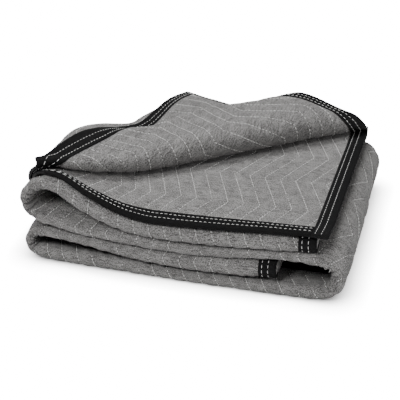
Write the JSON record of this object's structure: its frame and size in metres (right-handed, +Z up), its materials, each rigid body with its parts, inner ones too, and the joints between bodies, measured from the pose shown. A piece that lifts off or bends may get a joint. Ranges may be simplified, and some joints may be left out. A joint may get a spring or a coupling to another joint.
{
  "type": "folded quilted moving pad",
  "caption": "Quilted moving pad with a bound edge, folded back and forth into a pile with the top corner peeled back.",
  "frame": {"origin": "under the middle of the pile, on the surface that it rests on", "axes": "+X right along the front of the pile, +Y to the back, +Z up"},
  "size_m": [0.5315, 0.4456, 0.1803],
  "materials": {
    "quilted_cloth": "matt heathered grey non-woven face, quilted in zigzag rows with pale grey thread",
    "binding": "matt black woven tape with two rows of white stitches"
  },
  "bodies": {
    "root": {"quilted_cloth": "quilted_cloth", "binding_upper_edge": "binding", "binding_lower_edge": "binding", "binding_top_end": "binding", "binding_inner_end": "binding"}
  },
  "joints": []
}
